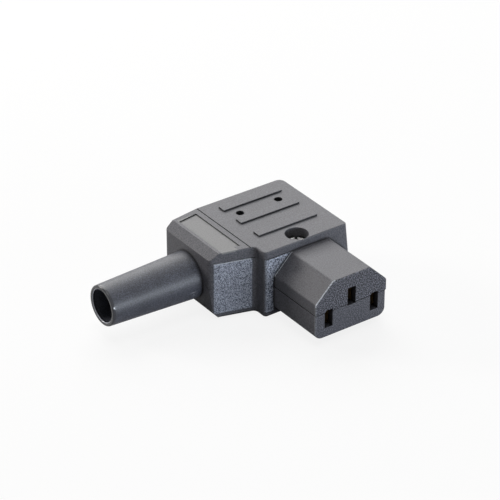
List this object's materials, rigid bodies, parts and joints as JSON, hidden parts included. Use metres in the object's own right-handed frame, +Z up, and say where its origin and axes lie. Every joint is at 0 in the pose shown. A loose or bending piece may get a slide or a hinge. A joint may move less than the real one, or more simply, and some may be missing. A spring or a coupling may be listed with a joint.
{
  "type": "right-angle appliance power connector",
  "caption": "Rewireable right-angle power connector: split housing, slotted mating nose at the front and a tapered cord bend sleeve at the side.",
  "frame": {"origin": "centre of the mating face, the front of the nose", "axes": "the nose points to -Y, the cord leaves to -X along the longest side, +Z is up through the flat top"},
  "size_m": [0.0636, 0.0457, 0.0193],
  "materials": {
    "housing": "fine spark texture",
    "sleeve": "satin, fine texture",
    "contact": "rolled strip",
    "brass": "turned and milled",
    "steel": "zinc plated",
    "clamp": "plain"
  },
  "bodies": {
    "root": {"upper_shell": "housing", "lower_shell": "housing", "bend_sleeve": "sleeve", "line_contact": "contact", "neutral_contact": "contact", "earth_contact": "contact", "line_terminal": "brass", "neutral_terminal": "brass", "earth_terminal": "brass", "terminal_screws": "steel", "clamp_bar": "clamp", "clamp_screws": "steel", "cover_screw": "steel"}
  },
  "joints": []
}
